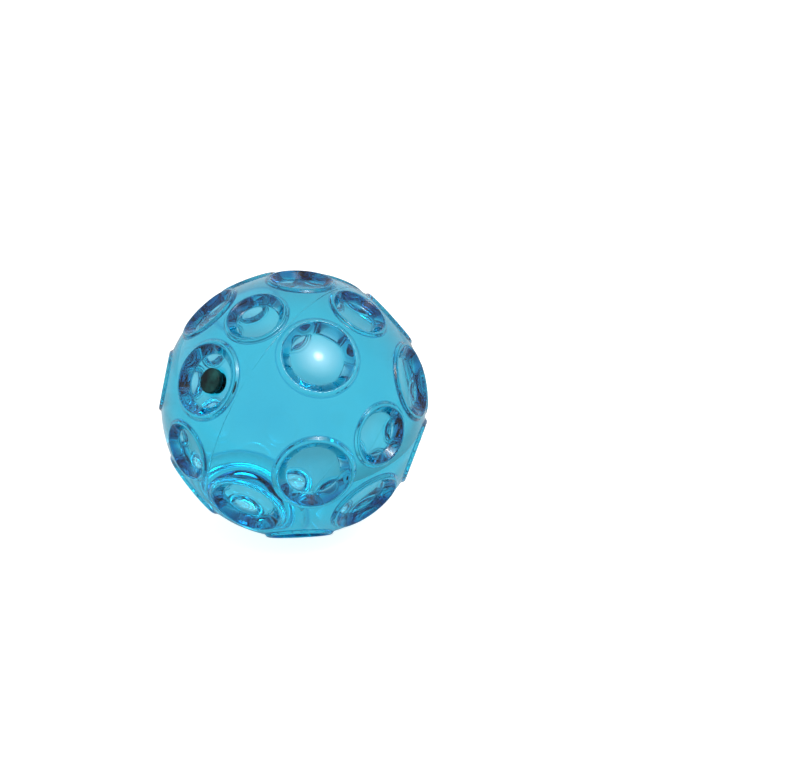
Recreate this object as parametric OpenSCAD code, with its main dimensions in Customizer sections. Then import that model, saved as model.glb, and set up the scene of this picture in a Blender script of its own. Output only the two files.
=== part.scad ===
// Filled dryer ball with ringed craters: two welded half shells, a gel filling and a press-in plug.
// The ball rests on the ring of its largest lower crater, and +Z is up.

/* [Ball] */
// Outside diameter, over the crater rings
ball_d = 70; // [68:1:74]
// Height of a crater's ring above the plain skin
ring_rise = 0.7; // [0.5:0.1:1]
// Thickness of the shell where the skin is plain
shell_wall = 2.2; // [1.8:0.1:2.6]
// Thickness of the shell under a crater's dish
dish_wall = 1; // [0.8:0.1:1.8]

/* [Craters] */
// Radius of a small crater at the foot of its ring
small_r = 8.3; // [8:0.1:8.6]
// Radius of a medium crater at the foot of its ring
medium_r = 9.1; // [8.8:0.1:9.4]
// Radius of a large crater at the foot of its ring
large_r = 10.2; // [9.8:0.1:10.4]
// Depth from the top of the ring to the edge of the dish
dish_depth = 2; // [1.6:0.1:2.2]
// Extra depth of the dish at its centre
dish_sag = 0.8; // [0.4:0.1:1]

/* [Weld] */
// Height of the tongue that keys the two half shells together
tongue_h = 0.8; // [0.5:0.1:1]
// Width of that tongue
tongue_w = 0.8; // [0.6:0.1:0.9]

/* [Plug] */
// Diameter of the plug's head
plug_head_d = 6.2; // [5.8:0.1:6.6]
// Thickness of the plug's head at its edge
plug_head_h = 1.6; // [1.2:0.1:1.8]
// Diameter of the plug's shank and of the hole that it fills
plug_shank_d = 4.4; // [4:0.1:4.6]
// Outside diameter of the neck around the hole, inside the shell
neck_d = 8.4; // [7.8:0.1:8.6]
// Length of the neck below the dish
neck_l = 4; // [3:0.1:5]

/* [Attitude] */
// Turn of the resting ball about the vertical, in degrees
heading = -34; // [-180:1:180]

/* [Hidden] */
$fn = 96;

// A crater is [latitude, turn, size]. Latitude is measured from the weld plane towards the panel half,
// and turn is measured around the weld plane from the crater that the ball rests on.
SMALL = 0;
MEDIUM = 1;
LARGE = 2;
foot_radii = [small_r, medium_r, large_r];

ring_ball_r = ball_d / 2;
skin_r = ring_ball_r - ring_rise;
cavity_r = skin_r - shell_wall;

// The ring's flat top and the dish's edge, as parts of the radius at the foot
land_outer_part = 0.91;
land_inner_part = 0.86;
dish_edge_part = 0.64;

// A crater next to the weld stops this many degrees short of it
weld_margin = 0.5;
function rim_latitude(size) = asin(foot_radii[size] / skin_r) + weld_margin;

// The rows beside the weld are [turn, size]; the others are whole craters
panel_rim = [
    [0, LARGE], [36, MEDIUM], [71, SMALL], [104, SMALL], [142, MEDIUM],
    [177, SMALL], [211, LARGE], [292, LARGE]
];
panel_crown = [
    [48, 14, SMALL], [44, 56, SMALL], [42, 115, SMALL], [50, 161, LARGE], [60, 217, SMALL],
    [42, 261, LARGE], [70, 305, LARGE], [36, 327, MEDIUM], [72, 94, MEDIUM]
];
plug_rim = [
    [26, MEDIUM], [104, LARGE], [141, SMALL], [177, MEDIUM],
    [211, SMALL], [280, SMALL], [317, LARGE], [353, SMALL]
];
plug_crown = [
    [-51, 32, SMALL], [-47, 79, MEDIUM], [-46, 124, SMALL], [-48, 169, SMALL],
    [-45, 214, MEDIUM], [-55, 273, SMALL], [-47, 345, MEDIUM], [-90, 0, LARGE]
];
plug_crater = [-rim_latitude(LARGE), 245, LARGE];

panel_craters = concat([for (c = panel_rim) [rim_latitude(c[1]), c[0], c[1]]], panel_crown);
plug_craters = concat([for (c = plug_rim) [-rim_latitude(c[1]), c[0], c[1]]], plug_crown, [plug_crater]);

// The ball lies on the ring at turn 0 of the panel rim
rest_latitude = rim_latitude(LARGE);

// Heights along a crater's own axis, from the ball's centre
function foot_z(r) = sqrt(skin_r ^ 2 - r ^ 2);
function top_z(r) = sqrt(ring_ball_r ^ 2 - (land_outer_part * r) ^ 2);
function dish_z(r) = top_z(r) - dish_depth;
function floor_z(r) = dish_z(r) - dish_sag;
// Radius of the dish's spherical floor
function floor_curve_r(r) = ((dish_edge_part * r) ^ 2 + dish_sag ^ 2) / (2 * dish_sag);

// Cuts run this far past the faces that they open, and pads run this far below the skin
overcut = 1;
// Turn of a plain round surface about the mould's axis, so that its seam edge lies between two craters
core_turn = 340;

// The plug's head lies in a seat this far below the dish's floor
plug_seat_depth = 0.4;
plug_head_seat = floor_z(large_r) - plug_seat_depth;
neck_end = floor_z(large_r) - neck_l;
plug_barb_d = plug_shank_d + 1.2;
plug_barb_h = 1.6;
plug_dome_h = 0.8;
tongue_r = (skin_r + cavity_r) / 2 - tongue_w / 2;
shell_blue = [0.36, 0.78, 0.92, 0.45];
gel_blue = [0.12, 0.62, 0.88, 0.6];
plug_green = [0.03, 0.13, 0.13];

// Turns the moulded ball into the attitude in which it lies on its ring
module at_rest() {
    translate([0, 0, top_z(large_r)])
        rotate([0, 0, heading])
            rotate([0, 90 + rest_latitude, 0])
                children();
}

// Points +Z out of the ball at a crater
module at_crater(crater) {
    rotate([0, 90 - crater[0], crater[1]]) children();
}

// A dish's spherical floor, made thicker by wall
module floor_sphere(r, wall) {
    translate([0, 0, floor_z(r) + floor_curve_r(r)]) sphere(floor_curve_r(r) + wall);
}

// A plain round body about the ball's centre
module core(r) {
    rotate([0, 0, core_turn]) sphere(r);
}

// The raised part of a ring, carried down inside the skin
module ring_pad(r) {
    top_r = land_outer_part * r;
    flare = (r - top_r) / (top_z(r) - foot_z(r));
    pad_h = top_z(r) - foot_z(r) + overcut;
    translate([0, 0, foot_z(r) - overcut]) cylinder(h = pad_h, r1 = top_r + flare * pad_h, r2 = top_r);
}

module dish_cut(r) {
    edge_r = dish_edge_part * r;
    flare = (land_inner_part * r - edge_r) / dish_depth;
    translate([0, 0, dish_z(r)])
        cylinder(h = dish_depth + overcut, r1 = edge_r, r2 = edge_r + flare * (dish_depth + overcut));
    intersection() {
        floor_sphere(r, 0);
        translate([0, 0, floor_z(r) - overcut]) cylinder(h = dish_sag + overcut + dish_depth / 2, r = edge_r);
    }
}

// The space that the filling takes up, next to the given craters
module cavity(craters) {
    difference() {
        core(cavity_r);
        for (c = craters) at_crater(c) floor_sphere(foot_radii[c[2]], dish_wall);
    }
}

// One side of the weld plane: +1 is the panel side and -1 is the plug side
module side_block(side) {
    translate([-ball_d, -ball_d, side > 0 ? 0 : -ball_d]) cube([2 * ball_d, 2 * ball_d, ball_d]);
}

module weld_tongue() {
    rotate_extrude() translate([tongue_r, -tongue_h]) square([tongue_w, tongue_h]);
}

module half_shell(craters, side) {
    difference() {
        intersection() {
            union() {
                core(skin_r);
                for (c = craters) at_crater(c) ring_pad(foot_radii[c[2]]);
            }
            side_block(side);
        }
        for (c = craters) at_crater(c) dish_cut(foot_radii[c[2]]);
        cavity(craters);
    }
}

module plug_neck() {
    at_crater(plug_crater)
        translate([0, 0, neck_end]) cylinder(h = neck_l - dish_wall / 2, d = neck_d);
}

module plug_hole() {
    at_crater(plug_crater) {
        translate([0, 0, neck_end - overcut]) cylinder(h = neck_l + 2 * overcut, d = plug_shank_d);
        translate([0, 0, plug_head_seat]) cylinder(h = plug_head_h + overcut, d = plug_head_d);
    }
}

module plug_body() {
    dome_r = ((plug_head_d / 2) ^ 2 + plug_dome_h ^ 2) / (2 * plug_dome_h);
    at_crater(plug_crater) {
        intersection() {
            translate([0, 0, plug_head_seat]) cylinder(h = plug_head_h + plug_dome_h, d = plug_head_d);
            translate([0, 0, plug_head_seat + plug_head_h + plug_dome_h - dome_r]) sphere(dome_r);
        }
        translate([0, 0, neck_end]) cylinder(h = plug_head_seat - neck_end, d = plug_shank_d);
        translate([0, 0, neck_end - plug_barb_h])
            cylinder(h = plug_barb_h, d1 = plug_shank_d - 1, d2 = plug_barb_d);
    }
}

module panel_half_shell() {
    color(shell_blue) at_rest() {
        half_shell(panel_craters, 1);
        weld_tongue();
    }
}

module plug_half_shell() {
    color(shell_blue) at_rest() difference() {
        union() {
            half_shell(plug_craters, -1);
            plug_neck();
        }
        weld_tongue();
        plug_hole();
    }
}

module gel_filling() {
    color(gel_blue) at_rest() difference() {
        cavity(concat(panel_craters, plug_craters));
        plug_neck();
        plug_body();
    }
}

module fill_plug() {
    color(plug_green) at_rest() plug_body();
}

panel_half_shell();
plug_half_shell();
gel_filling();
fill_plug();
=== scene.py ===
"""Looks of the filled dryer ball: two clear blue half shells, the gel between them and the fill plug.

Shapes are worked out in millimetres about the ball's centre, in the frame of its mould, where the weld
lies in the plane z = 0. They are turned into the resting attitude and into metres when a mesh is made.
"""

import math

import bpy
import numpy as np
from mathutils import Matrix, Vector
from mathutils.geometry import delaunay_2d_cdt


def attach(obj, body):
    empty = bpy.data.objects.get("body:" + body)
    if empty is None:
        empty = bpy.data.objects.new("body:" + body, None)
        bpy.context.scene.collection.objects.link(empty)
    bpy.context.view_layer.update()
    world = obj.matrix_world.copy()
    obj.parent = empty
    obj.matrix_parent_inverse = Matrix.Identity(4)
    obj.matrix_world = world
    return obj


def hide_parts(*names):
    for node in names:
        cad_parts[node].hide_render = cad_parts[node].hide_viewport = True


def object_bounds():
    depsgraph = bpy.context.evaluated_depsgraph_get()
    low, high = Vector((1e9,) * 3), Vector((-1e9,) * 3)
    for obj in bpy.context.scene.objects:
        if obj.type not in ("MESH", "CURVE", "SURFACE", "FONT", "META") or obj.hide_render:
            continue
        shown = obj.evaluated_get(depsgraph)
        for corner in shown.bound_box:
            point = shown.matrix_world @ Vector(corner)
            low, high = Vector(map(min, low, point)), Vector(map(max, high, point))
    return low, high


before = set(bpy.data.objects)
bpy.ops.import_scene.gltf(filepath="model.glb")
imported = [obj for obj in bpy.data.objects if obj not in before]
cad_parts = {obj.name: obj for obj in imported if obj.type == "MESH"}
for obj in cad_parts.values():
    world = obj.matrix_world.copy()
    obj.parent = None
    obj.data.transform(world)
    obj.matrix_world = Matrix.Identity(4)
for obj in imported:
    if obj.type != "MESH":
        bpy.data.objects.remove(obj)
cad_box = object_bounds()

# ---- The ball's sizes, as in the CAD model ----
BALL_D = 70.0
RING_RISE = 0.7
SHELL_WALL = 2.2
DISH_WALL = 1.0
FOOT_RADII = (8.3, 9.1, 10.2)
SMALL, MEDIUM, LARGE = range(3)
DISH_DEPTH = 2.0
DISH_SAG = 0.8
LAND_OUTER = 0.91
LAND_INNER = 0.86
DISH_EDGE = 0.64
WELD_MARGIN = 0.5
TONGUE = 0.8
PLUG_HEAD_D = 6.2
PLUG_HEAD_H = 1.6
PLUG_DOME_H = 0.8
PLUG_SEAT_DEPTH = 0.4
PLUG_SHANK_D = 4.4
PLUG_BARB_D = PLUG_SHANK_D + 1.2
PLUG_BARB_H = 1.6
PLUG_BARB_TIP_R = PLUG_SHANK_D / 2 - 0.5
PLUG_BARB_RIM = 0.2         # the straight part of the barb, next to the neck
NECK_D = 8.4
NECK_L = 4.0
HEADING = -34.0
MM = 0.001

RING_R = BALL_D / 2
SKIN_R = RING_R - RING_RISE
CAVITY_R = SKIN_R - SHELL_WALL


def rim_latitude(size):
    return math.degrees(math.asin(FOOT_RADII[size] / SKIN_R)) + WELD_MARGIN


# A crater is (latitude, turn, size). The rows beside the weld are (turn, size).
PANEL_RIM = [
    (0, LARGE), (36, MEDIUM), (71, SMALL), (104, SMALL), (142, MEDIUM),
    (177, SMALL), (211, LARGE), (292, LARGE),
]
PANEL_CROWN = [
    (48, 14, SMALL), (44, 56, SMALL), (42, 115, SMALL), (50, 161, LARGE), (60, 217, SMALL),
    (42, 261, LARGE), (70, 305, LARGE), (36, 327, MEDIUM), (72, 94, MEDIUM),
]
PLUG_RIM = [
    (26, MEDIUM), (104, LARGE), (141, SMALL), (177, MEDIUM),
    (211, SMALL), (280, SMALL), (317, LARGE), (353, SMALL),
]
PLUG_CROWN = [
    (-51, 32, SMALL), (-47, 79, MEDIUM), (-46, 124, SMALL), (-48, 169, SMALL),
    (-45, 214, MEDIUM), (-55, 273, SMALL), (-47, 345, MEDIUM), (-90, 0, LARGE),
]
PLUG_CRATER = (-rim_latitude(LARGE), 245, LARGE)
PANEL_CRATERS = [(rim_latitude(size), turn, size) for turn, size in PANEL_RIM] + PANEL_CROWN
PLUG_CRATERS = [(-rim_latitude(size), turn, size) for turn, size in PLUG_RIM] + PLUG_CROWN + [PLUG_CRATER]


# ---- Heights along a crater's own axis ----
def foot_z(r):
    return math.sqrt(SKIN_R ** 2 - r ** 2)


def top_z(r):
    return math.sqrt(RING_R ** 2 - (LAND_OUTER * r) ** 2)


def dish_z(r):
    return top_z(r) - DISH_DEPTH


def floor_z(r):
    return dish_z(r) - DISH_SAG


def floor_curve_r(r):
    return ((DISH_EDGE * r) ** 2 + DISH_SAG ** 2) / (2 * DISH_SAG)


# ---- Turning between frames ----
def turn_y(degrees):
    c, s = math.cos(math.radians(degrees)), math.sin(math.radians(degrees))
    return np.array([[c, 0, s], [0, 1, 0], [-s, 0, c]])


def turn_z(degrees):
    c, s = math.cos(math.radians(degrees)), math.sin(math.radians(degrees))
    return np.array([[c, -s, 0], [s, c, 0], [0, 0, 1]])


REST_TURN = turn_z(HEADING) @ turn_y(90 + rim_latitude(LARGE))
CENTRE = np.array([0, 0, top_z(FOOT_RADII[LARGE])])


def crater_turn(crater):
    """The matrix that takes a crater's own axis, +z, to its place on the mould."""
    return turn_z(crater[1]) @ turn_y(90 - crater[0])


# ---- Profiles: rows of radius and height, from a crater's axis out to the plain skin ----
PATCH_MARGIN = 0.2          # degrees of plain skin round a crater's foot
FOOT_INSET = 0.22           # the foot's corner stands this far inside the foot, to leave room for its fillet
PATH_STEP = 0.02            # spacing of a profile's working points
PLAIN_SOFTNESS = 0.05       # reach of the rounding away from the corners
CORNER_REACH = 2.4          # how far a corner's rounding spreads along the profile, in softnesses
RING_SPACING = 0.55         # widest space between the rings of a patch, and the narrowest, at a corner
FINE_SPACING = 0.09
DISH_EDGE_SOFTNESS = 0.22
LAND_INNER_SOFTNESS = 0.30
LAND_OUTER_SOFTNESS = 0.34
FOOT_SOFTNESS = 0.15
FLOOR_RINGS = 7             # rings of an inner patch under the dish, and on the cavity's sphere
SKIN_RINGS = 4
GEL_GAP = 0.05              # the gel's skin is drawn this far inside the shells'
WELD_GAP = 0.01             # each weld face is drawn this far from the weld plane


def arc(centre_z, radius, r_from, r_to, upper=True):
    """Points on a circle centred on the axis, from one radius to another, on its upper or lower half."""
    r = np.linspace(r_from, r_to, max(3, round(abs(r_to - r_from) / PATH_STEP)))
    height = np.sqrt(np.maximum(radius ** 2 - r ** 2, 0))
    return np.stack([r, centre_z + (height if upper else -height)], 1)


def line(start, end):
    return np.linspace(start, end, max(3, round(math.dist(start, end) / PATH_STEP)))


def lengths_along(path):
    return np.concatenate([[0], np.cumsum(np.linalg.norm(np.diff(path, axis=0), axis=1))])


def rounded(path, corners, end_r):
    """Rings of a profile that runs outwards along path, rounded at its corners and closest together there.

    Each corner is (point, softness). Returns points and unit normals, up to the radius end_r.
    """
    length = lengths_along(path)
    corner_s = [length[np.argmin(np.linalg.norm(path - np.array(point), axis=1))] for point, _ in corners]
    even = np.arange(0, length[-1], PATH_STEP)
    dense = np.stack([np.interp(even, length, path[:, k]) for k in (0, 1)], 1)
    if dense[0, 0] < PATH_STEP:
        dense = np.vstack([dense[:0:-1] * (-1, 1), dense])
        even = np.concatenate([-even[:0:-1], even])

    def sample(s):
        reach = np.full(len(s), PLAIN_SOFTNESS)
        for at, (_, softness) in zip(corner_s, corners):
            reach = np.maximum(reach, softness * np.exp(-(((s - at) / (CORNER_REACH * softness)) ** 2)))
        weight = np.exp(-0.5 * ((even[None, :] - s[:, None]) / reach[:, None]) ** 2)
        return weight @ dense / weight.sum(1, keepdims=True)

    end_s = length[len(path) - 1 - np.argmin(np.abs(path[::-1, 0] - end_r))]
    places = [0.0]
    while places[-1] < end_s:
        gap = min(abs(places[-1] - at) for at in corner_s)
        places.append(min(end_s, places[-1] + min(RING_SPACING, max(FINE_SPACING, gap / 2))))
    if places[-1] - places[-2] < FINE_SPACING / 2:
        places.pop(-2)
    places = np.array(places)
    tangent = sample(places + PATH_STEP / 2) - sample(places - PATH_STEP / 2)
    tangent /= np.linalg.norm(tangent, axis=1, keepdims=True)
    return sample(places), np.stack([-tangent[:, 1], tangent[:, 0]], 1)


def rim_radius(size, skin_r):
    """Radius of the circle where a crater's patch ends on the plain skin."""
    return skin_r * math.sin(math.asin(FOOT_RADII[size] / SKIN_R) + math.radians(PATCH_MARGIN))


def outer_profile(crater):
    size = crater[2]
    r = FOOT_RADII[size]
    foot_r = r - FOOT_INSET
    foot = (foot_r, foot_z(foot_r))
    edge = (DISH_EDGE * r, dish_z(r))
    land_in = (LAND_INNER * r, top_z(r))
    land_out = (LAND_OUTER * r, top_z(r))
    end_r = rim_radius(size, SKIN_R)
    first_r = PLUG_HEAD_D / 2 if crater == PLUG_CRATER else 0
    path = np.vstack([
        arc(floor_z(r) + floor_curve_r(r), floor_curve_r(r), first_r, edge[0], upper=False),
        line(edge, land_in),
        line(land_in, land_out),
        line(land_out, foot),
        arc(0, SKIN_R, foot_r, end_r + 1),
    ])
    corners = [
        (edge, DISH_EDGE_SOFTNESS), (land_in, LAND_INNER_SOFTNESS),
        (land_out, LAND_OUTER_SOFTNESS), (foot, FOOT_SOFTNESS),
    ]
    points, normals = rounded(path, corners, end_r)
    points[-1] = (end_r, math.sqrt(SKIN_R ** 2 - end_r ** 2))
    normals[-1] = points[-1] / SKIN_R
    points[0, 0] = first_r
    return points, normals


def corner_normals(points):
    """Unit normals of a plain outline, each the mean of its two sides."""
    side = np.diff(points, axis=0)
    side /= np.linalg.norm(side, axis=1, keepdims=True)
    mean = np.vstack([side[:1], side[:-1] + side[1:], side[-1:]])
    mean /= np.linalg.norm(mean, axis=1, keepdims=True)
    return np.stack([-mean[:, 1], mean[:, 0]], 1)


def inner_profile(crater, gap=0.0):
    """The cavity's wall under a crater, drawn gap inside it.

    It is the dish's floor, a wall's thickness further in, and then the cavity's sphere.
    """
    size = crater[2]
    r = FOOT_RADII[size]
    cavity_r = CAVITY_R - gap
    ball_z = floor_z(r) + floor_curve_r(r)
    ball_r = floor_curve_r(r) + DISH_WALL + gap
    meet_z = (cavity_r ** 2 - ball_r ** 2 + ball_z ** 2) / (2 * ball_z)
    meet_r = math.sqrt(cavity_r ** 2 - meet_z ** 2)
    end_r = rim_radius(size, cavity_r)
    first_r = NECK_D / 2 + gap if crater == PLUG_CRATER else 0
    floor_radii = np.linspace(first_r, meet_r, FLOOR_RINGS)
    skin_radii = np.linspace(meet_r, end_r, SKIN_RINGS)[1:]
    floor_rings = [(q, ball_z - math.sqrt(ball_r ** 2 - q ** 2)) for q in floor_radii]
    skin_rings = [(q, math.sqrt(cavity_r ** 2 - q ** 2)) for q in skin_radii]
    neck_end = floor_z(r) - NECK_L - gap
    neck = []
    if crater == PLUG_CRATER and gap:
        barb_end = neck_end - PLUG_BARB_H
        neck = [
            (0, barb_end), (PLUG_BARB_TIP_R + gap, barb_end),
            (PLUG_BARB_D / 2 + gap, neck_end), (first_r, neck_end),
        ]
    elif crater == PLUG_CRATER:
        neck = [(PLUG_SHANK_D / 2, neck_end), (first_r, neck_end)]
    points = np.array(neck + floor_rings + skin_rings)
    return points, corner_normals(points)


# ---- Meshes ----
OUTSIDE, INSIDE = 0, 1      # faces in the open air, and faces that touch another clear piece
OUTER_SEGMENTS = 120
INNER_SEGMENTS = 60
WELD_SEGMENTS = 480
OUTER_GRID = 0.75           # spacing of the plain skin's points
INNER_GRID = 1.5
CLEARANCE = 0.45            # plain points stay this part of their spacing away from patches and the weld
BEAD_H = 0.05               # the weld's bead, and its half width
BEAD_W = 0.10
BEAD_ROWS = (0.06, 0.12, 0.18, 0.26)
ROW_CLEARANCE = 0.05        # the bead's rows stop this far short of a patch
ON_AXIS = 1e-6              # a ring smaller than this is a single point


class Build:
    """Points, normals and faces of one mesh while it is made, in the mould's frame."""

    def __init__(self):
        self.points, self.normals, self.walls, self.faces, self.count = [], [], [], [], 0

    def add(self, points, normals, wall=0.0):
        first = self.count
        self.points.append(np.asarray(points, float))
        self.normals.append(np.asarray(normals, float))
        # Each point carries how much painted shade its ring gets
        self.walls.append(np.full(len(points), wall))
        self.count += len(points)
        return np.arange(first, self.count)

    def face(self, rows, slot):
        self.faces.append((np.asarray(rows, int), slot))

    def band(self, ring_a, ring_b, slot):
        """Four-sided faces between two rings, with their outer side up where ring_b lies outside ring_a."""
        self.face(np.stack([ring_a, ring_b, np.roll(ring_b, -1), np.roll(ring_a, -1)], 1), slot)

    def mesh(self, name, material):
        points = np.vstack(self.points) @ REST_TURN.T + CENTRE
        normals = np.vstack(self.normals) @ REST_TURN.T
        corners = np.concatenate([rows.ravel() for rows, _ in self.faces])
        sizes = np.concatenate([np.full(len(rows), rows.shape[1]) for rows, _ in self.faces])
        slots = np.concatenate([np.full(len(rows), slot) for rows, slot in self.faces])
        mesh = bpy.data.meshes.new(name)
        mesh.vertices.add(len(points))
        mesh.vertices.foreach_set("co", (points * MM).ravel())
        mesh.loops.add(len(corners))
        mesh.loops.foreach_set("vertex_index", corners)
        mesh.polygons.add(len(sizes))
        mesh.polygons.foreach_set("loop_start", np.concatenate([[0], np.cumsum(sizes)[:-1]]))
        mesh.update(calc_edges=True)
        # The painted shade of the rings, read by the shell's material to darken their walls and foot lines
        wall = mesh.attributes.new("wall", "FLOAT", "POINT")
        wall.data.foreach_set("value", np.concatenate(self.walls).astype(np.float32))
        contact = mesh.attributes.new("contact", "FLOAT", "FACE")
        contact.data.foreach_set("value", (slots == INSIDE).astype(np.float32))
        smooth = slots == OUTSIDE
        mesh.polygons.foreach_set("use_smooth", smooth)
        face_normals = np.zeros(len(sizes) * 3)
        mesh.polygons.foreach_get("normal", face_normals)
        flat = np.repeat(face_normals.reshape(-1, 3), sizes, axis=0)
        shown = np.where(np.repeat(smooth, sizes)[:, None], normals[corners], flat)
        mesh.normals_split_custom_set(shown.tolist())
        mesh.materials.append(material)
        piece = bpy.data.objects.new(name, mesh)
        bpy.context.scene.collection.objects.link(piece)
        return piece


# A darker blue is painted as shade on each ring's walls and along its foot. It stands in for the darkening
# that refraction and the thicker plastic give them.
# Painted shade on a ring: parts of the foot's radius, from the dish's edge out, and how much darker blue is
# painted at each
RING_SHADE_PARTS = (0.61, 0.70, 0.84, 0.88, 0.955, 0.985, 1.01)
RING_SHADE_DEPTHS = (0.0, 0.8, 1.0, 0.1, 0.0, 1.0, 0.0)


def polar_patch(build, crater, profile, segments, slot):
    """A crater's rings. Returns the first ring and the last."""
    turn = crater_turn(crater)
    around = np.arange(segments) * 2 * math.pi / segments
    rings = []
    foot_r = FOOT_RADII[crater[2]]
    for (r, z), (nr, nz) in zip(*profile):
        if r < ON_AXIS:
            rings.append(build.add([turn @ (0, 0, z)], [turn @ (0, 0, 1)]))
            continue
        # Painted shade: how much darker blue this ring of the outer skin gets
        wall = np.interp(r / foot_r, RING_SHADE_PARTS, RING_SHADE_DEPTHS) if slot == OUTSIDE else 0.0
        place = np.stack([r * np.cos(around), r * np.sin(around), np.full(segments, z)], 1)
        normal = np.stack([nr * np.cos(around), nr * np.sin(around), np.full(segments, nz)], 1)
        rings.append(build.add(place @ turn.T, normal @ turn.T, wall))
    for a, b in zip(rings, rings[1:]):
        if len(a) == 1:
            build.face(np.stack([np.full(segments, a[0]), b, np.roll(b, -1)], 1), slot)
        elif len(b) == 1:
            build.face(np.stack([a, np.full(segments, b[0]), np.roll(a, -1)], 1), slot)
        else:
            build.band(a, b, slot)
    return rings[0], rings[-1]


def bead(away):
    """Height of the weld's bead at a distance from the weld, and its slope."""
    height = BEAD_H * np.exp(-((away / BEAD_W) ** 2))
    return height, -2 * away / BEAD_W ** 2 * height


def plain_skin(build, craters, rims, side, radius, grid, beaded, slot, weld_gap):
    """Triangles over the plain skin of one half, between the patches' rims. Returns the ring on the weld."""
    around = np.arange(WELD_SEGMENTS) * 2 * math.pi / WELD_SEGMENTS
    rows = [0.0] + (list(BEAD_ROWS) if beaded else [])
    spread = int(4 * math.pi * radius ** 2 / grid ** 2)
    index = np.arange(spread) + 0.5
    height = 1 - 2 * index / spread
    golden = math.pi * (1 + math.sqrt(5)) * index
    level = np.sqrt(1 - height ** 2)
    lattice = np.stack([level * np.cos(golden), level * np.sin(golden), height], 1)
    keep = lattice[:, 2] * side * radius > rows[-1] + CLEARANCE * grid
    ways, reaches = [], []
    for crater in craters:
        ways.append(crater_turn(crater) @ (0, 0, 1))
        reaches.append(math.asin(FOOT_RADII[crater[2]] / SKIN_R) + math.radians(PATCH_MARGIN))
    for way, reach in zip(ways, reaches):
        keep &= np.arccos(np.clip(lattice @ way, -1, 1)) > reach + CLEARANCE * grid / radius
    loose = [lattice[keep]]
    for away in rows[1:]:
        up = away / radius
        row_r = math.cos(up)
        row_z = np.full(WELD_SEGMENTS, side * math.sin(up))
        row = np.stack([row_r * np.cos(around), row_r * np.sin(around), row_z], 1)
        clear = np.ones(len(row), bool)
        for way, reach in zip(ways, reaches):
            clear &= np.arccos(np.clip(row @ way, -1, 1)) > reach + ROW_CLEARANCE / radius
        loose.append(row[clear])
    weld = np.stack([np.cos(around), np.sin(around), np.zeros(WELD_SEGMENTS)], 1)
    new = np.vstack([weld] + loose)
    away = np.abs(np.arcsin(np.clip(new[:, 2], -1, 1))) * radius
    rise, slope = bead(away) if beaded else (np.zeros(len(new)), np.zeros(len(new)))
    across = np.hypot(new[:, 0], new[:, 1])[:, None]
    poleward = np.hstack([-new[:, :2] / across * np.abs(new[:, 2:]), side * across])
    normal = new - slope[:, None] * poleward
    normal /= np.linalg.norm(normal, axis=1, keepdims=True)
    place = new * (radius + rise)[:, None]
    place[:WELD_SEGMENTS, 2] = side * weld_gap
    own = build.add(place, normal)

    everything = np.vstack(build.points)
    ids = np.concatenate([own] + rims)
    circle = np.concatenate([np.full(len(own), -1)] + [np.full(len(rim), k) for k, rim in enumerate(rims)])
    place = everything[ids]
    place /= np.linalg.norm(place, axis=1, keepdims=True)
    place[:WELD_SEGMENTS, 2] = 0
    chart = place[:, :2] / (1 + side * place[:, 2:])
    edges, first = [], len(own)
    loops = [range(WELD_SEGMENTS)]
    for rim in rims:
        loops.append(range(first, first + len(rim)))
        first += len(rim)
    for loop in loops:
        edges += [(a, loop[(k + 1) % len(loop)]) for k, a in enumerate(loop)]
    _, _, triangles, origin, _, _ = delaunay_2d_cdt([Vector(p) for p in chart], edges, [], 0, 1e-9, True)
    back = np.array([o[0] for o in origin])
    rows = back[np.array(triangles)]
    inside_rim = (circle[rows] >= 0).all(1) & (circle[rows].min(1) == circle[rows].max(1))
    rows = ids[rows[~inside_rim]]
    a, b, c = (everything[rows[:, k]] for k in range(3))
    inward = np.einsum("ij,ij->i", np.cross(b - a, c - a), a + b + c) < 0
    rows[inward] = rows[inward][:, ::-1]
    build.face(rows, slot)
    return own[:WELD_SEGMENTS]


def skin(build, craters, side, radius, profile, segments, grid, slot, beaded=False, weld_gap=0.0):
    """One side of a half shell. Returns its weld ring and the first ring of the plug's patch."""
    rims, hole = [], None
    for crater in craters:
        count = OUTER_SEGMENTS if crater == PLUG_CRATER else segments
        first, last = polar_patch(build, crater, profile(crater), count, slot)
        rims.append(last)
        hole = first if crater == PLUG_CRATER else hole
    return plain_skin(build, craters, rims, side, radius, grid, beaded, slot, weld_gap), hole


TONGUE_R = (SKIN_R + CAVITY_R) / 2 - TONGUE / 2


def turned_inside_out(build, first_face):
    for k in range(first_face, len(build.faces)):
        rows, slot = build.faces[k]
        build.faces[k] = (rows[:, ::-1], slot)


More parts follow.
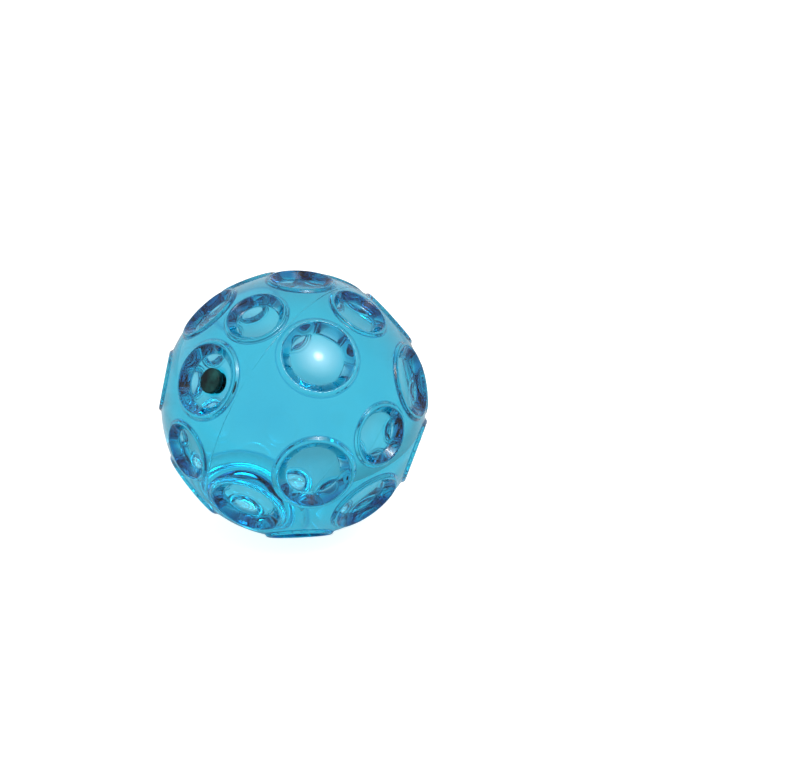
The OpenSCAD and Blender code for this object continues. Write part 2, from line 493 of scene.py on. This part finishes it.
def half_shell(name, craters, side, material):
    """A closed half shell: two skins, the weld's face with its tongue or groove, and the plug's hole."""
    build = Build()
    outer_weld, outer_hole = skin(
        build, craters, side, SKIN_R, outer_profile, OUTER_SEGMENTS, OUTER_GRID, OUTSIDE, True, WELD_GAP)
    first_face = len(build.faces)
    inner_weld, inner_hole = skin(
        build, craters, side, CAVITY_R, inner_profile, INNER_SEGMENTS, INNER_GRID, INSIDE, False, WELD_GAP)
    turned_inside_out(build, first_face)

    around = np.arange(WELD_SEGMENTS) * 2 * math.pi / WELD_SEGMENTS
    rings = [outer_weld]
    gap = side * WELD_GAP
    for r, z in [
        (TONGUE_R + TONGUE - gap, gap), (TONGUE_R + TONGUE - gap, gap - TONGUE),
        (TONGUE_R + gap, gap - TONGUE), (TONGUE_R + gap, gap),
    ]:
        ring = np.stack([r * np.cos(around), r * np.sin(around), np.full(WELD_SEGMENTS, float(z))], 1)
        rings.append(build.add(ring, np.tile([0, 0, -side], (WELD_SEGMENTS, 1))))
    rings.append(inner_weld)
    for a, b in zip(rings, rings[1:]):
        build.band(*((b, a) if side < 0 else (a, b)), INSIDE)
    if outer_hole is not None:
        seat = floor_z(FOOT_RADII[LARGE]) - PLUG_SEAT_DEPTH
        turn = crater_turn(PLUG_CRATER)
        angle = np.arange(OUTER_SEGMENTS) * 2 * math.pi / OUTER_SEGMENTS
        rings = [outer_hole]
        for r in (PLUG_HEAD_D / 2, PLUG_SHANK_D / 2):
            ring = np.stack([r * np.cos(angle), r * np.sin(angle), np.full(OUTER_SEGMENTS, seat)], 1)
            rings.append(build.add(ring @ turn.T, np.tile(turn @ (0, 0, 1), (OUTER_SEGMENTS, 1))))
        rings.append(inner_hole)
        for a, b in zip(rings, rings[1:]):
            build.band(b, a, INSIDE)
    return build.mesh(name, material)


def gel(name, material):
    build = Build()

    def profile(crater):
        return inner_profile(crater, GEL_GAP)

    panel_weld, _ = skin(build, PANEL_CRATERS, 1, CAVITY_R - GEL_GAP, profile, INNER_SEGMENTS, INNER_GRID, 0)
    first_face = len(build.faces)
    plug_weld, _ = skin(build, PLUG_CRATERS, -1, CAVITY_R - GEL_GAP, profile, INNER_SEGMENTS, INNER_GRID, 0)
    shared = np.arange(build.count)
    shared[plug_weld] = panel_weld
    for k in range(first_face, len(build.faces)):
        build.faces[k] = (shared[build.faces[k][0]], 0)
    used = np.setdiff1d(np.arange(build.count), plug_weld)
    renumber = np.zeros(build.count, int)
    renumber[used] = np.arange(len(used))
    build.points = [np.vstack(build.points)[used]]
    build.normals = [np.vstack(build.normals)[used]]
    build.walls = [np.concatenate(build.walls)[used]]
    build.faces = [(renumber[rows], slot) for rows, slot in build.faces]
    return build.mesh(name, material)


PLUG_CLEAR = 0.02           # the plug's head and shank are drawn this much inside their hole
PLUG_EDGE_R = 0.4
PLUG_EDGE_START = 0.25      # angle where the edge's rounding takes over from the dome, in radians
PLUG_SEGMENTS = 64
PLUG_DOME_RINGS = 12
PLUG_EDGE_RINGS = 6


def fill_plug(name, material):
    """The press-in plug: a domed head with a soft edge, a shank and a barb."""
    r = FOOT_RADII[LARGE]
    seat = floor_z(r) - PLUG_SEAT_DEPTH
    neck_end = floor_z(r) - NECK_L
    head_r = PLUG_HEAD_D / 2 - PLUG_CLEAR
    dome_r = (head_r ** 2 + PLUG_DOME_H ** 2) / (2 * PLUG_DOME_H)
    head_top = seat + PLUG_HEAD_H + PLUG_DOME_H
    dome = [
        (q, head_top - dome_r + math.sqrt(dome_r ** 2 - q ** 2))
        for q in np.linspace(0, head_r - PLUG_EDGE_R, PLUG_DOME_RINGS)
    ]
    edge_z = dome[-1][1] - PLUG_EDGE_R
    edge = [
        (head_r - PLUG_EDGE_R + PLUG_EDGE_R * math.sin(t), edge_z + PLUG_EDGE_R * math.cos(t))
        for t in np.linspace(PLUG_EDGE_START, math.pi / 2, PLUG_EDGE_RINGS)
    ]
    shank_r = PLUG_SHANK_D / 2 - PLUG_CLEAR
    tail = [
        (head_r, seat), (shank_r, seat), (shank_r, neck_end), (PLUG_BARB_D / 2, neck_end),
        (PLUG_BARB_D / 2, neck_end - PLUG_BARB_RIM), (PLUG_BARB_TIP_R, neck_end - PLUG_BARB_H),
        (0, neck_end - PLUG_BARB_H),
    ]
    outline = np.array(dome + edge + tail)
    build = Build()
    polar_patch(build, PLUG_CRATER, (outline, corner_normals(outline)), PLUG_SEGMENTS, 0)
    return build.mesh(name, material)


# ---- Materials ----
SHELL_IOR = 1.45
SHELL_TINT = (0.70, 0.76, 0.91)
SHELL_TINT_DEEP = (0.44, 0.62, 0.82)
# The darker blue painted on the rings' walls and foot lines as shade
RING_SHADE_COLOUR = (0.02, 0.30, 0.56)
SHELL_ABSORBS = (0.0, 0.94, 0.97)
SHELL_DENSITY = 500.0
GEL_ABSORBS = (0.30, 0.84, 0.92)
GEL_DENSITY = 6.0
FLOOR_GLOW = 0.8
FLOOR_TONE_LOW = (0.53, 0.53, 0.53)
FLOOR_TONE_HIGH = (0.56, 0.56, 0.56)
# A painted pool of light: the floor glows around this point behind the ball, for every ray but the camera's
POOL_X = 0.0
POOL_Y = 0.08
POOL_INNER = 0.02
POOL_OUTER = 0.10
POOL_GLOW = 0.3
PLUG_DARK = (0.0, 0.006, 0.008)
PLUG_LIGHT = (0.012, 0.085, 0.080)


class Look:
    """A node material while it is made."""

    def __init__(self, name):
        self.material = bpy.data.materials.new(name)
        self.material.use_nodes = True
        self.tree = self.material.node_tree
        self.shader = self.tree.nodes["Principled BSDF"]
        self.place = self.node("ShaderNodeTexCoord").outputs["Object"]

    def node(self, kind, **values):
        made = self.tree.nodes.new(kind)
        for name, value in values.items():
            setattr(made, name, value)
        return made

    def link(self, source, target):
        self.tree.links.new(source, target)

    def noise(self, per_metre, detail=2.0, roughness=0.5):
        made = self.node("ShaderNodeTexNoise")
        made.inputs["Scale"].default_value = per_metre
        made.inputs["Detail"].default_value = detail
        made.inputs["Roughness"].default_value = roughness
        self.link(self.place, made.inputs["Vector"])
        return made.outputs["Fac"]

    def ramp(self, source, low, high, start=0.3, end=0.7):
        """A number or colour that goes from low to high as source goes from start to end."""
        made = self.node("ShaderNodeMapRange")
        made.inputs["From Min"].default_value = start
        made.inputs["From Max"].default_value = end
        self.link(source, made.inputs["Value"])
        if isinstance(low, tuple):
            mix = self.node("ShaderNodeMix", data_type="RGBA")
            mix.inputs[6].default_value = (*low, 1)
            mix.inputs[7].default_value = (*high, 1)
            self.link(made.outputs["Result"], mix.inputs[0])
            return mix.outputs[2]
        made.inputs["To Min"].default_value = low
        made.inputs["To Max"].default_value = high
        return made.outputs["Result"]

    def bump(self, source, height, strength=1.0):
        made = self.node("ShaderNodeBump")
        made.inputs["Distance"].default_value = height
        made.inputs["Strength"].default_value = strength
        self.link(source, made.inputs["Height"])
        self.link(made.outputs["Normal"], self.shader.inputs["Normal"])


def absorbing(look, colour, density):
    """Light is taken up along its way through the piece."""
    volume = look.node("ShaderNodeVolumeAbsorption")
    volume.inputs["Color"].default_value = (*colour, 1)
    volume.inputs["Density"].default_value = density
    look.link(volume.outputs["Volume"], look.tree.nodes["Material Output"].inputs["Volume"])


def shell_plastic():
    """Clear blue plastic. Faces against the gel, weld and plug don't bend light: both sides bend it alike."""
    look = Look("shell_plastic")
    look.shader.inputs["Transmission Weight"].default_value = 1.0
    contact = look.node("ShaderNodeAttribute", attribute_name="contact").outputs["Fac"]
    look.shader.inputs["IOR"].default_value = SHELL_IOR
    look.link(look.ramp(contact, SHELL_IOR, 1.0, 0, 1), look.shader.inputs["IOR"])
    # Painted shade: the rings' walls and foot lines get a darker blue base colour
    wall = look.node("ShaderNodeAttribute", attribute_name="wall").outputs["Fac"]
    ring_shading = look.node("ShaderNodeMix", data_type="RGBA")
    ring_shading.inputs[7].default_value = (*RING_SHADE_COLOUR, 1)
    look.link(wall, ring_shading.inputs[0])
    look.link(look.ramp(look.noise(45), SHELL_TINT, SHELL_TINT_DEEP), ring_shading.inputs[6])
    tint = ring_shading.outputs[2]
    mix = look.node("ShaderNodeMix", data_type="RGBA")
    mix.inputs[7].default_value = (1, 1, 1, 1)
    look.link(contact, mix.inputs[0])
    look.link(tint, mix.inputs[6])
    look.link(mix.outputs[2], look.shader.inputs["Base Color"])
    look.link(look.ramp(look.noise(900, 3), 0.0, 0.02, 0.5, 0.75), look.shader.inputs["Roughness"])
    absorbing(look, SHELL_ABSORBS, SHELL_DENSITY)
    return look.material


def gel_material():
    """Clear gel, which bends light as the plastic does."""
    look = Look("gel")
    look.shader.inputs["Transmission Weight"].default_value = 1.0
    look.shader.inputs["IOR"].default_value = 1.0
    look.shader.inputs["Roughness"].default_value = 0.0
    look.link(look.ramp(look.noise(80), (1.0, 1.0, 1.0), (0.97, 0.99, 1.0)), look.shader.inputs["Base Color"])
    absorbing(look, GEL_ABSORBS, GEL_DENSITY)
    return look.material


def plug_rubber():
    look = Look("plug_rubber")
    mottle = look.ramp(look.noise(240, 4), PLUG_DARK, PLUG_LIGHT, 0.42, 0.68)
    look.link(mottle, look.shader.inputs["Base Color"])
    look.link(look.ramp(look.noise(2500, 3), 0.38, 0.55), look.shader.inputs["Roughness"])
    look.shader.inputs["Specular IOR Level"].default_value = 0.15
    look.bump(look.noise(4000, 3), 0.00004, 0.5)
    return look.material


def floor_paint_and_glow():
    look = Look("floor_paint_and_glow")
    look.link(look.ramp(look.noise(12), FLOOR_TONE_LOW, FLOOR_TONE_HIGH), look.shader.inputs["Base Color"])
    look.shader.inputs["Roughness"].default_value = 0.9
    look.shader.inputs["Specular IOR Level"].default_value = 0.1
    look.shader.inputs["Emission Color"].default_value = (1, 1, 1, 1)
    # Painted light: a glowing pool behind the ball for all other rays, and an even glow for the camera
    camera_ray = look.node("ShaderNodeLightPath").outputs["Is Camera Ray"]
    away = look.node("ShaderNodeVectorMath", operation="DISTANCE")
    look.link(look.place, away.inputs[0])
    away.inputs[1].default_value = (POOL_X, POOL_Y, 0)
    pool = look.ramp(away.outputs["Value"], POOL_GLOW, 0.0, POOL_INNER, POOL_OUTER)
    mix = look.node("ShaderNodeMix")
    look.link(camera_ray, mix.inputs["Factor"])
    look.link(pool, mix.inputs[2])
    mix.inputs[3].default_value = FLOOR_GLOW
    look.link(mix.outputs[0], look.shader.inputs["Emission Strength"])
    return look.material


# ---- The pieces ----
shell_look = shell_plastic()
panel = half_shell("panel_half_shell_clear", PANEL_CRATERS, 1, shell_look)
plug_side = half_shell("plug_half_shell_clear", PLUG_CRATERS, -1, shell_look)
filling = gel("gel_filling_clear", gel_material())
plug = fill_plug("fill_plug_rubber", plug_rubber())
for piece, node, slot in [
    (panel, "panel_half_shell", "shell"), (plug_side, "plug_half_shell", "shell"),
    (filling, "gel_filling", "gel"), (plug, "fill_plug", "plug"),
]:
    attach(piece, "root")
    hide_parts(node)

# ---- Floor, light and camera ----
FLOOR_FRONT = -0.13
FLOOR_SIZE = 4.0
STUDIO_LIGHT = 0.9          # strength of the world's light on the ball
STUDIO_SEEN = 1.0           # its strength where the camera looks straight at it
KEY_AZIMUTH = 146
KEY_ELEVATION = 57
KEY_DISTANCE = 0.60
KEY_WIDTH = 0.54
KEY_POWER = 3.0
KEY_HUMPS = [(1.0, 0.08, 0.27), (1.3, 0.0, 0.14), (5.0, 0.0, 0.06)]
BOUNCES = 64                # light crosses many clear faces on its way through the ball
CAMERA_LENS = 50.0
CAMERA_SENSOR = 36.0
CAMERA_ELEVATION = 24.0
CAMERA_DISTANCE = 0.2895
SHIFT_X = 0.1331
SHIFT_Y = 0.02625

ball_centre = Vector(CENTRE * MM)
floor_mesh = bpy.data.meshes.new("floor")
half = FLOOR_SIZE / 2
floor_mesh.from_pydata(
    [(-half, FLOOR_FRONT, 0), (half, FLOOR_FRONT, 0), (half, half, 0), (-half, half, 0)], [], [(0, 1, 2, 3)])
floor = bpy.data.objects.new("floor", floor_mesh)
floor_mesh.materials.append(floor_paint_and_glow())
bpy.context.scene.collection.objects.link(floor)
floor.location.z = cad_box[0].z


def soft_lamp(name, azimuth, elevation, distance, width, power, humps):
    """A round lamp that faces the ball and fades towards its edge.

    Azimuth 0 is behind the ball as the camera sees it, and 90 is to its right. Each hump is
    (strength, inner, outer): full strength inside the inner distance from the lamp's middle, and none
    outside the outer one.
    """
    a, e = math.radians(azimuth), math.radians(elevation)
    away = Vector((math.sin(a) * math.cos(e), math.cos(a) * math.cos(e), math.sin(e)))
    lamp = bpy.data.lights.new(name, "AREA")
    lamp.shape = "DISK"
    lamp.size = width
    lamp.energy = power
    lamp.use_nodes = True
    nodes, links = lamp.node_tree.nodes, lamp.node_tree.links
    from_middle = nodes.new("ShaderNodeVectorMath")
    from_middle.operation = "DISTANCE"
    from_middle.inputs[1].default_value = (0.5, 0.5, 0)
    links.new(nodes.new("ShaderNodeNewGeometry").outputs["Parametric"], from_middle.inputs[0])
    total = None
    for strength, inner, outer in humps:
        hump = nodes.new("ShaderNodeMapRange")
        hump.interpolation_type = "SMOOTHSTEP"
        for socket, value in [
            ("From Min", inner / width), ("From Max", outer / width), ("To Min", strength), ("To Max", 0.0),
        ]:
            hump.inputs[socket].default_value = value
        links.new(from_middle.outputs["Value"], hump.inputs["Value"])
        if total is None:
            total = hump.outputs["Result"]
            continue
        add = nodes.new("ShaderNodeMath")
        add.operation = "ADD"
        links.new(total, add.inputs[0])
        links.new(hump.outputs["Result"], add.inputs[1])
        total = add.outputs["Value"]
    links.new(total, nodes["Emission"].inputs["Strength"])
    made = bpy.data.objects.new(name, lamp)
    made.location = ball_centre + away * distance
    made.rotation_euler = away.to_track_quat("Z", "Y").to_euler()
    bpy.context.scene.collection.objects.link(made)


soft_lamp("key", KEY_AZIMUTH, KEY_ELEVATION, KEY_DISTANCE, KEY_WIDTH, KEY_POWER, KEY_HUMPS)

world = bpy.data.worlds.new("studio")
world.use_nodes = True
bpy.context.scene.world = world
tree = world.node_tree
background = tree.nodes["Background"]
seen = tree.nodes.new("ShaderNodeMix")
tree.links.new(tree.nodes.new("ShaderNodeLightPath").outputs["Is Camera Ray"], seen.inputs["Factor"])
seen.inputs[2].default_value = STUDIO_LIGHT
seen.inputs[3].default_value = STUDIO_SEEN
tree.links.new(seen.outputs[0], background.inputs["Strength"])
background.inputs["Color"].default_value = (1, 1, 1, 1)

camera = bpy.data.cameras.new("camera")
camera.lens = CAMERA_LENS
camera.sensor_width = CAMERA_SENSOR
camera.shift_x = SHIFT_X
camera.shift_y = SHIFT_Y
viewer = bpy.data.objects.new("camera", camera)
tilt = math.radians(CAMERA_ELEVATION)
viewer.location = ball_centre + Vector((0, -math.cos(tilt), math.sin(tilt))) * CAMERA_DISTANCE
viewer.rotation_euler = (math.pi / 2 - tilt, 0, 0)
bpy.context.scene.collection.objects.link(viewer)
bpy.context.scene.camera = viewer
bpy.context.scene.view_settings.view_transform = "Standard"
bpy.context.scene.cycles.max_bounces = BOUNCES
bpy.context.scene.cycles.transmission_bounces = BOUNCES
